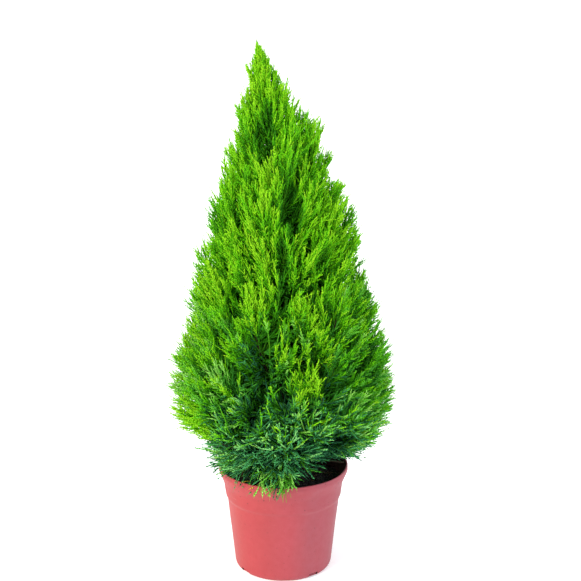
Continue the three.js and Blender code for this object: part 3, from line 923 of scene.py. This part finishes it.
def make_soil():
    edge = SOIL_LEVEL - SOIL_DOME
    levels = (POT_FLOOR + SEAT_GAP, FOOT_CORNER["level"], SOIL_RING,
              COLLAR["bottom"] - COLLAR["rise"], COLLAR["bottom"], edge)
    wall_gap = POT_WALL + SEAT_GAP
    profile = [(float(pot_radius(level)) - wall_gap, level) for level in levels]
    brim = profile[-1][0]
    for share in np.linspace(0, 1, DOME_RINGS["count"])[1:-1]:
        dome = SOIL_DOME * math.sin(share * math.pi / 2)
        profile.append((lerp(brim, DOME_RINGS["middle"], share), edge + dome))
    soil = turned("potting_soil", profile, SOIL_SIDES)
    weigh_points(soil, "surface", lambda at: float(at.z > edge - DOME_RINGS["edge"]))
    for name, lump in SOIL_LUMPS.items():
        add_lumps(soil, name, **lump, weights="surface").mid_level = LUMP_LEVEL
    apply_modifiers(soil)
    smooth(soil, SOIL_SMOOTH)
    finish_piece(soil, PEAT, "soil", "soil")
    return soil


def make_litter(soil):
    """Crumbs of soil and fallen dry needles on the soil."""
    chance = np.random.default_rng(LITTER["seed"])
    lowest = SOIL_LEVEL - 2 * SOIL_DOME
    surface = np.array([point.co for point in soil.data.vertices if point.co.z > lowest])
    surface = surface[np.hypot(surface[:, 0], surface[:, 1]) < LITTER["reach"]]
    surface = surface[clear_of_trunk(surface + UP * CRUMB["size"])]
    crumbs = surface[chance.integers(len(surface), size=LITTER["crumbs"])]
    crumbs = crumbs + chance.normal(0, CRUMB["size"], crumbs.shape) * np.array([1, 1, 0])
    sizes = CRUMB["size"] * chance.uniform(CRUMB["least"], 1, (len(crumbs), len(CRUMB_CORNERS), 1))
    points = (crumbs[:, None] + CRUMB_CORNERS * sizes).reshape(-1, 3)
    faces = repeated(CRUMB_FACES, len(CRUMB_CORNERS), len(crumbs))
    needle_kind = len(LITTER_FINISHES) - 1
    kinds = np.repeat(chance.integers(needle_kind, size=len(crumbs)), len(CRUMB_FACES))
    fallen = surface[chance.integers(len(surface), size=LITTER["needles"])] + UP * CRUMB["size"]
    count = len(fallen)
    turn = chance.uniform(0, 2 * math.pi, count)
    ways = np.stack([np.cos(turn), np.sin(turn), chance.normal(0, FALLEN["tilt"], count)], axis=1)
    lengths = FALLEN["length"] * chance.uniform(*FALLEN["scatter"], count)
    widths = np.full(count, FALLEN["wider"] * NEEDLE_WIDTH)
    needles = awls(fallen, unit(ways), lengths, widths, turn)
    parts = gather([(points, faces, kinds), (*needles, np.full(len(needles[1]), needle_kind))])
    put_in_frame(joined_mesh("soil_litter", *parts, LITTER_FINISHES), "soil")


def limb(name, places, radii, sides):
    """A tapering limb along the places: a curve with a round section, made a mesh."""
    curve = bpy.data.curves.new(name, "CURVE")
    curve.dimensions = "3D"
    curve.bevel_depth = 1
    curve.bevel_resolution = (sides - 4) // 2
    curve.use_fill_caps = True
    spline = curve.splines.new("POLY")
    spline.points.add(len(places) - 1)
    for point, place, radius in zip(spline.points, places, radii):
        point.co = (*place, 1)
        point.radius = radius
    make_active(add_object(name, curve))
    bpy.ops.object.convert(target="MESH")
    edit_mode()
    face_outwards()
    object_mode()
    return bpy.context.object


def roughen_bark(piece, strength):
    """Ridges that run up the limb: noise drawn out along the height, on a finer mesh."""
    ruler = add_object("bark_ruler", None)
    ruler.scale = (1, 1, BARK_RIDGES["stretch"])
    bpy.context.view_layer.update()
    finer = piece.modifiers.new("finer", "SUBSURF")
    finer.subdivision_type = "SIMPLE"
    finer.levels = finer.render_levels = 1
    size, detail = BARK_RIDGES["size"], BARK_RIDGES["detail"]
    ridges = add_lumps(piece, "bark_ridges", size, detail, strength)
    ridges.texture_coords = "OBJECT"
    ridges.texture_coords_object = ruler
    apply_modifiers(piece)
    bpy.data.objects.remove(ruler)
    smooth(piece, BARK_SMOOTH)


def make_trunk():
    foot = np.linspace(SOIL_LEVEL + SEAT_GAP, TRUNK_RINGS["foot_top"], TRUNK_RINGS["foot"])
    stem = np.linspace(TRUNK_RINGS["stem_start"], TRUNK_TIP, TRUNK_RINGS["stem"])
    levels = np.concatenate([foot, stem])
    trunk = limb("trunk_bark", trunk_point(levels), trunk_radius(levels), LIMB_SIDES["trunk"])
    roughen_bark(trunk, BARK_RIDGES["trunk"])
    finish_piece(trunk, BARK, "bark", "trunk")


def make_boughs(plans):
    made = []
    for plan in plans:
        shares = np.linspace(BOUGH_START, BOUGH_SHARE, BOUGH_RINGS)
        places, _ = along_line(plan["line"], shares)
        root = trunk_radius(plan["line"]["places"][0][2]) * BOUGH_RADIUS["root"]
        radii = lerp(root, root * BOUGH_RADIUS["tip"], shares / BOUGH_SHARE)
        made.append(limb("bough_bark", places, radii, LIMB_SIDES["bough"]))
    deselect()
    for bough in made:
        bough.select_set(True)
    bpy.context.view_layer.objects.active = made[0]
    bpy.ops.object.join()
    boughs = bpy.context.object
    boughs.name = boughs.data.name = "boughs_bark"
    roughen_bark(boughs, BARK_RIDGES["boughs"])
    finish_piece(boughs, BARK, "bark", *[f"bough_{plan['label']}" for plan in plans])


# Foliage


def fountain(points):
    """The way growth turns at each point: up in the spire, out on the flanks, down at the hem."""
    offset = from_axis(points)
    level = points[..., 2]
    share = np.clip(np.linalg.norm(offset, axis=-1) / crown_radius(level), 0, FOUNTAIN["most"])
    tilt = np.radians(np.interp(level, FOUNTAIN_LEVELS, FOUNTAIN_TILTS))
    return turned_from(UP, unit(offset), tilt * share ** FOUNTAIN["power"])


def feather_length(level):
    grown = FEATHER_LENGTH["top"] + FEATHER_LENGTH["growth"] * (TREE_HEIGHT - level)
    return np.minimum(FEATHER_LENGTH["most"], grown)


def spread_levels(count):
    """Levels spread from the hem to the spire, more of them where the crown is wide."""
    levels = np.linspace(HEM_LEVEL, TREE_HEIGHT, SPREAD_LEVELS)
    run = np.cumsum(crown_radius(levels) + SPIRE_WEIGHT)
    return np.interp((np.arange(count) + 0.5) / count, run / run[-1], levels)


def spiral(level, reach):
    """Points on a spiral round the trunk's line, at the given levels and distances from it."""
    turn = np.arange(len(level)) * GOLDEN_ANGLE
    outward = np.stack([np.cos(turn), np.sin(turn), np.zeros_like(turn)], axis=1)
    return trunk_point(level) + outward * reach[:, None]


def feather_tips():
    """Tips spread evenly over the crown's outline."""
    level = spread_levels(FEATHERS)
    tips = spiral(level, crown_radius(level))
    return tips[clear_of_pot(tips) & inside_outline(tips, OUTLINE_SLACK["branchlet"])]


def inner_tips():
    """Ends of inner shoots, spread evenly through the crown's inside."""
    level = spread_levels(INNER_SHOOTS)
    share = np.sqrt(np.arange(INNER_SHOOTS) * INNER_STEP % 1)
    tips = spiral(level, INNER_REACH * share * crown_radius(level))
    return tips[clear_of_pot(tips) & inside_outline(tips) & clear_of_trunk(tips)]


def nearest_stems(plans, points):
    """The nearest place on the plumes' stems to each point, and whose stem it is."""
    places, owners = [], []
    for number, plan in enumerate(plans):
        start = plan["leafy"] + STEM_SEARCH["start"]
        shares = np.linspace(start, STEM["end"], STEM_SEARCH["places"])
        places.append(along_line(plan["line"], shares)[0])
        owners.append(np.full(len(shares), number))
    places, owners = np.concatenate(places), np.concatenate(owners)
    nearest = [np.argmin(np.linalg.norm(places - point, axis=1)) for point in points]
    return places[nearest], owners[nearest]


def share_out(plans):
    """Gives each plume its feathers and inner shoots, lines from the nearest stem to their tips."""
    for plan in plans:
        plan["feathers"], plan["inner"] = [], []
    outer, inner = feather_tips(), inner_tips()
    for kind, tips, lengths in (("feathers", outer, feather_length(outer[:, 2])),
                                ("inner", inner, np.full(len(inner), INNER_LENGTH))):
        ways = fountain(tips)
        starts, owners = nearest_stems(plans, tips - ways * lengths[:, None])
        for tip, way, start, owner in zip(tips, ways, starts, owners):
            bend = tip - way * np.linalg.norm(tip - start) * LINE_BEND
            line = bent_line(start, bend, tip)
            free = clear_of_trunk(line["places"][ROOT_PLACES:]).all()
            if free and clear_of_pot(line["places"]).all():
                plans[owner][kind].append(line)


def aim_shoots(line, leafy_share, width, chance):
    """The shoots off a stem and on its end: where they start, their paths and their lengths."""
    count = max(SHOOT_FEWEST, round(line["length"] * (1 - leafy_share) / SHOOT_SPACING))
    order = np.arange(count)
    share = lerp(SHOOT_START, 1, (order + 0.5) / count)
    share[-1] = 1
    along = lerp(leafy_share, STEM["end"], share)
    starts, stem_ways = along_line(line, along)
    turn = order * GOLDEN_ANGLE + chance.random(count) * SHOOT_SCATTER["turn"]
    flat = unit(np.cross(stem_ways, UP))
    sides = turned_from(flat, np.cross(stem_ways, flat), turn)
    angle = np.radians(lerp(*SHOOT_ANGLE, share))
    ways = turned_from(stem_ways, sides, angle)
    ways = unit(ways + chance.normal(0, SHOOT_SCATTER["way"], ways.shape))
    ways[-1] = stem_ways[-1]
    half = width * plume_profile((along - leafy_share) / (1 - leafy_share))
    left = (1 - along) * line["length"] + SHOOT_BEYOND
    lengths = np.minimum(half / np.sin(angle), left / np.cos(angle))
    lengths = lengths * chance.uniform(*SHOOT_SCATTER["length"], count)
    lengths = np.clip(lengths, *SHOOT_LENGTHS)
    lengths[-1] = left[-1] - SHOOT_BEYOND
    rising = fountain(starts + ways * lengths[:, None] * SHOOT_RISE["place"])
    ends = unit(lerp(ways, rising, SHOOT_RISE["share"]))
    ends[-1] = ways[-1]
    steps = np.linspace(0, 1, SHOOT_STEPS + 1)
    middles = (steps[1:] + steps[:-1]) / 2
    parts = unit(lerp(ways[:, None], ends[:, None], middles[None, :, None])) / SHOOT_STEPS
    paths = np.concatenate([np.zeros((count, 1, 3)), np.cumsum(parts, axis=1)], axis=1)
    return along, starts, paths, lengths


def fit_shoots(starts, paths, lengths, slack):
    """The largest size at which each shoot stays in the crown and clear of the rest, or 0."""
    fitted = np.zeros(len(starts))
    for size in SHOOT_SIZES:
        places = starts[:, None] + paths * (lengths * size)[:, None, None]
        fits = inside_outline(places[:, -1], slack) & clear_of_pot(places).all(axis=1)
        fits &= clear_of_trunk(places[:, 1:]).all(axis=1)
        fits &= ~in_gaps(places[:, 1:]).any(axis=1)
        fitted = np.where((fitted == 0) & fits, size, fitted)
    return fitted


def grow_shoots(line, leafy_share, width, vigour, chance):
    """The shoots off a stem and on its end, as lines of places, cut short to stay in the crown."""
    along, starts, paths, lengths = aim_shoots(line, leafy_share, width, chance)
    slack = chance.uniform(*OUTLINE_SLACK["shoot"], len(starts))
    slack = slack + chance.uniform(*OUTLINE_SLACK["feather"])
    fitted = fit_shoots(starts, paths, lengths, slack)
    kept = fitted > 0
    lengths = (lengths * fitted)[kept]
    count = len(lengths)
    vigour = vigour + chance.normal(0, VIGOUR["feather"])
    return {"lines": starts[kept, None] + paths[kept] * lengths[:, None, None],
            "lengths": lengths, "spacing": np.full(count, BRANCHLET_SPACING),
            "slack": slack[kept], "along": along[kept],
            "vigour": vigour + chance.normal(0, VIGOUR["shoot"], count)}


def inner_shoots(lines):
    count = len(lines)
    shares = np.linspace(0, 1, SHOOT_STEPS + 1)
    return {"lines": np.array([along_line(line, shares)[0] for line in lines]),
            "lengths": np.array([line["length"] for line in lines]),
            "spacing": np.full(count, INNER_SPACING), "slack": np.zeros(count),
            "along": np.zeros(count), "vigour": np.zeros(count)}


def numbered(counts):
    """For so many items of each owner: each item's owner, and its number among that owner's."""
    owner = np.repeat(np.arange(len(counts)), counts)
    return owner, np.arange(len(owner)) - np.repeat(np.cumsum(counts) - counts, counts)


def grow_branchlets(shoots, chance):
    """The branchlets off the shoots: root, way, length, place along the shoot, and which shoot."""
    counts = np.round(shoots["lengths"] / shoots["spacing"]).astype(int)
    owner, order = numbered(counts)
    count = len(owner)
    along = lerp(BRANCHLET_BARE, 1, (order + 0.5) / counts[owner])
    step = np.minimum((along * SHOOT_STEPS).astype(int), SHOOT_STEPS - 1)
    before, after = shoots["lines"][owner, step], shoots["lines"][owner, step + 1]
    roots = lerp(before, after, (along * SHOOT_STEPS - step)[:, None])
    axis_ways = unit(after - before)
    scatter = BRANCHLET_SCATTER
    turn = order * GOLDEN_ANGLE + chance.normal(0, scatter["turn"], count)
    sides = turned_from(*side_frames(axis_ways), turn)
    angle = np.radians(lerp(*BRANCHLET_ANGLE, along)) + chance.normal(0, scatter["angle"], count)
    ways = unit(turned_from(axis_ways, sides, angle))
    size = np.clip(shoots["lengths"] / FULL_SHOOT, *BRANCHLET_SIZES)[owner]
    lengths = lerp(*BRANCHLET_LENGTH, along) * size * chance.uniform(*scatter["length"], count)
    low = lower_share(roots)
    lengths = lengths * lerp(1, LOWER_PART["longer"], low)
    wisps = chance.spawn(1)[0].random(count) < WISP["share"]
    lengths = lengths * lerp(1, WISP["longer"], wisps)
    tips = roots + ways * lengths[:, None]
    slack = shoots["slack"][owner] + OUTLINE_SLACK["branchlet"] + WISP["slack"] * wisps
    barer = in_pockets(tips, BARER_PARTS, BARER["depth"])
    thinner = np.maximum(LOWER_PART["thinner"] * low, BARER["thinner"] * barer)
    kept = clear_of_pot(tips) & inside_outline(tips, slack) & (chance.random(count) > thinner)
    thickness = lerp(1, LOWER_PART["thicker"], low) * lerp(1, WISP["thinner"], wisps)
    grown = {"roots": roots, "ways": ways, "lengths": lengths, "along": along, "owner": owner,
             "tips": tips, "depths": crown_radius(tips[:, 2]) - axis_gap(tips),
             "thickness": thickness}
    return {name: values[kept] for name, values in grown.items()}


def score_branchlets(branchlets, shoots, flame, chance):
    """How bright each branchlet is, by its depth, its place on the shoot and its shoot's vigour."""
    tips = branchlets["tips"]
    upper = ramp(tips[:, 2] - INNER_SHADE["level"], INNER_SHADE["fade"])
    shade_depth = lerp(INNER_SHADE["low_depth"], INNER_SHADE["high_depth"], upper)
    outer = 1 - ramp(branchlets["depths"], shade_depth)
    score = SCORE["outer"] * outer + SCORE["along"] * branchlets["along"]
    score = score + shoots["vigour"][branchlets["owner"]]
    score = score + chance.normal(0, VIGOUR["branchlet"], len(tips))
    # Flames score higher (young growth, and painted light on ridges that catch the light); the
    # score drops towards the hem, painted shade under the crown
    score = score + FLAME["brighter"] * flame - LOWER_PART["painted_shade"] * lower_share(tips) ** 2
    # Painted shade in wider pockets round the hollows and clefts, outside the flames
    shaded_pockets = [(*middle, width * HOLLOW_SHADE["wider"], height * HOLLOW_SHADE["wider"])
              for *middle, width, height in HOLLOWS + CLEFTS]
    score = score - HOLLOW_SHADE["painted_shade"] * (in_pockets(tips, shaded_pockets, HOLLOW_SHADE["depth"]) & ~flame)
    # Painted shade on the side away from the light
    shady = unit(from_axis(tips)) @ heading(math.radians(SHADY_SIDE["bearing"]))
    return score - SHADY_SIDE["painted_shade"] * np.maximum(shady, 0)


def deal_colours(branchlets, shoots, chance):
    """A colour for each branchlet, by its score and by whether it is bluish, tinged or dry."""
    tips = branchlets["tips"]
    level = tips[:, 2]
    flame = in_pockets(tips, FLAMES, FLAME["depth"])
    score = score_branchlets(branchlets, shoots, flame, chance)
    barer = in_pockets(tips, BARER_PARTS, BARER["depth"])
    coolness = np.maximum(LOWER_PART["cool"] * lower_share(tips), BARER["cool"] * barer)
    cool = (chance.random(len(tips)) < coolness) & ~flame
    tinge = TINGE["share"] * ramp(TINGE["top"] - level, TINGE["fade"])
    tinged = (chance.random(len(shoots["vigour"]))[branchlets["owner"]] < tinge) & ~flame
    tinged |= flame & (level < TINGE["hem"])
    dry = (level < DRY_ENDS["top"]) & (branchlets["along"] > DRY_ENDS["along"])
    dry &= chance.random(len(tips)) < DRY_ENDS["share"]
    kinds = np.zeros(len(tips), int)
    for first, where in (("deep", True), ("fresh_shade", tinged), ("teal", cool)):
        kind = NEEDLE_ORDER.index(first) + np.digitize(score, COLOUR_STEPS[first])
        kinds = np.where(where, kind, kinds)
    return np.where(dry, NEEDLE_ORDER.index("dry"), kinds)


def grow_needles(branchlets, chance):
    """The branchlets' own thin axes and their needles, each with its branchlet."""
    shell = np.digitize(branchlets["depths"], SHELL_DEPTHS)
    runs = np.clip(np.round(branchlets["lengths"] / NEEDLE_RUN), 1, NEEDLE_RUNS).astype(int)
    needles = np.array(SHELL_NEEDLES)[shell] * runs
    owner, order = numbered(needles)
    count, scatter = len(owner), NEEDLE_SCATTER
    share = (order + NEEDLE_START) / needles[owner] + chance.normal(0, scatter["place"], count)
    axis_ways = branchlets["ways"][owner]
    reach = np.clip(share * max(NEEDLE_REACH), *NEEDLE_REACH) * branchlets["lengths"][owner]
    roots = branchlets["roots"][owner] + axis_ways * reach[:, None]
    turn = order * GOLDEN_ANGLE + chance.uniform(0, 2 * math.pi, len(shell))[owner]
    sides = turned_from(*side_frames(axis_ways), turn)
    angle = np.radians(NEEDLE_ANGLE * lerp(*NEEDLE_OPENING, share))
    angle = angle + chance.normal(0, scatter["angle"], count)
    ways = unit(turned_from(axis_ways, sides, angle))
    lengths = NEEDLE_LENGTH * chance.uniform(*scatter["length"], count)
    thickness = branchlets["thickness"]
    widths = np.concatenate([np.array(SHELL_WIDTHS)[shell] * thickness,
                             NEEDLE_WIDTH * thickness[owner]])
    roots = np.concatenate([branchlets["roots"], roots])
    ways = np.concatenate([branchlets["ways"], ways])
    lengths = np.concatenate([branchlets["lengths"], lengths])
    turns = chance.uniform(0, 2 * math.pi, len(lengths))
    points, triangles = awls(roots, ways, lengths, widths, turns)
    owners = np.concatenate([np.arange(len(shell)), owner])
    return points, triangles, np.repeat(owners, len(AWL_FACES))


def stem_tube(line, start, end, radius):
    places, _ = along_line(line, np.linspace(start, end, STEM["rings"]))
    radii = radius * np.linspace(1, STEM["taper"], STEM["rings"])
    return tubes(places[None], radii[None], STEM["sides"])


def grow_plume(plan):
    chance = np.random.default_rng(plan["seed"])
    line, feathers = plan["line"], plan["feathers"]
    bare = max(plan["leafy"], 1 - FEATHER_LENGTH["most"] / line["length"])
    vigour = chance.normal(0, VIGOUR["plume"])
    grown = [grow_shoots(line, bare, plan["width"] * STEM["shoot_width"], vigour, chance)]
    off_feathers = [grow_shoots(feather, FEATHER["bare"], FEATHER["width"], vigour, chance)
                    for feather in feathers]
    grown += off_feathers
    if plan["inner"]:
        grown.append(inner_shoots(plan["inner"]))
    shoots = {name: np.concatenate([some[name] for some in grown]) for name in grown[0]}
    branchlets = grow_branchlets(shoots, chance)
    colours = deal_colours(branchlets, shoots, chance)
    points, triangles, owner = grow_needles(branchlets, chance)
    brown = stem_tube(line, plan["leafy"], STEM["end"], STEM["radius"])
    green = [stem_tube(feather, 0, some["along"].max(), FEATHER["radius"])
             for feather, some in zip(feathers, off_feathers) if len(some["along"])]
    radii = SHOOT_TUBE["radius"] * np.linspace(1, SHOOT_TUBE["taper"], SHOOT_STEPS + 1)
    radii = np.broadcast_to(radii, shoots["lines"].shape[:2])
    green.append(tubes(shoots["lines"], radii, SHOOT_TUBE["sides"]))
    twigs = [(*brown, np.zeros(len(brown[1])))]
    twigs += [(*tube, np.ones(len(tube[1]))) for tube in green]
    return {"plan": plan, "needles": (points, triangles, colours[owner]), "twigs": gather(twigs)}


def grouped(plumes):
    """The plumes tier by tier, in groups whose needles stay under the most triangles of a piece."""
    groups = []
    for plume in plumes:
        tier, size = plume["plan"]["tier"], len(plume["needles"][1])
        last = groups[-1] if groups else None
        if last and last["tier"] == tier and last["size"] + size < MOST_TRIANGLES:
            last["plumes"].append(plume)
            last["size"] += size
        else:
            groups.append({"tier": tier, "plumes": [plume], "size": size})
    return groups


def make_foliage(plans):
    share_out(plans)
    counts = {}
    for group in grouped([grow_plume(plan) for plan in plans]):
        tier, plumes = group["tier"], group["plumes"]
        counts[tier] = counts.get(tier, 0) + 1
        nodes = [f"plume_{plume['plan']['label']}" for plume in plumes]
        for kind, finishes in (("needles", NEEDLE_FINISHES), ("twigs", TWIG_FINISHES)):
            parts = gather([plume[kind] for plume in plumes])
            piece = joined_mesh(f"{kind}_{tier}_{counts[tier]}", *parts, finishes)
            put_in_frame(piece, "foliage", *nodes)


# Stage, light and camera


def make_stage():
    deselect()
    bpy.ops.mesh.primitive_plane_add(size=FLOOR["size"], location=(0, 0, FLOOR["level"]))
    floor = bpy.context.object
    floor.name = "floor"
    material, _, shader = new_material("pale_floor")
    set_inputs(shader, Base_Color=(*[FLOOR["tone"]] * 3, 1), Roughness=FLOOR["roughness"],
               Emission_Color=(1, 1, 1, 1), Emission_Strength=FLOOR["glow"])
    floor.data.materials.append(material)


def make_sun(name, place, spread, strength, colour):
    """A broad soft light from the side of the given place, aimed at the origin."""
    data = bpy.data.lights.new(name, "SUN")
    data.angle = math.radians(spread)
    data.energy = strength
    data.color = colour
    lamp = add_object(name, data)
    lamp.location = place
    pitch = math.atan2(math.hypot(place[0], place[1]), place[2])
    lamp.rotation_euler = (pitch, 0, math.atan2(-place[1], -place[0]) - math.pi / 2)


def make_camera():
    data = bpy.data.cameras.new("camera")
    data.sensor_width = CAMERA["sensor"]
    data.lens = CAMERA["sensor"] * CAMERA["focal"] / CAMERA["width"]
    data.shift_x = CAMERA["shift"] / CAMERA["width"]
    data.dof.use_dof = False
    camera = add_object("camera", data)
    camera.location = CAMERA["place"]
    camera.rotation_euler = (math.radians(90 - CAMERA["down"]), 0, 0)
    bpy.context.scene.camera = camera


def make_world():
    world = bpy.data.worlds.new("studio")
    world.use_nodes = True
    set_inputs(world.node_tree.nodes["Background"], Color=(1, 1, 1, 1), Strength=1.0)
    bpy.context.scene.world = world
    bpy.context.scene.view_settings.view_transform = "Standard"


make_camera()
make_world()
make_stage()
make_sun("key", place=(-1.15, -1.05, 1.15), spread=30, strength=2.6, colour=(1, 0.95, 0.87))
make_sun("fill", place=(1.2, -0.6, 0.25), spread=70, strength=1.4, colour=(0.28, 0.7, 1))
plans = plume_plans()
make_pot()
make_litter(make_soil())
make_trunk()
make_boughs([plan for plan in plans if plan["bough"]])
make_foliage(plans)
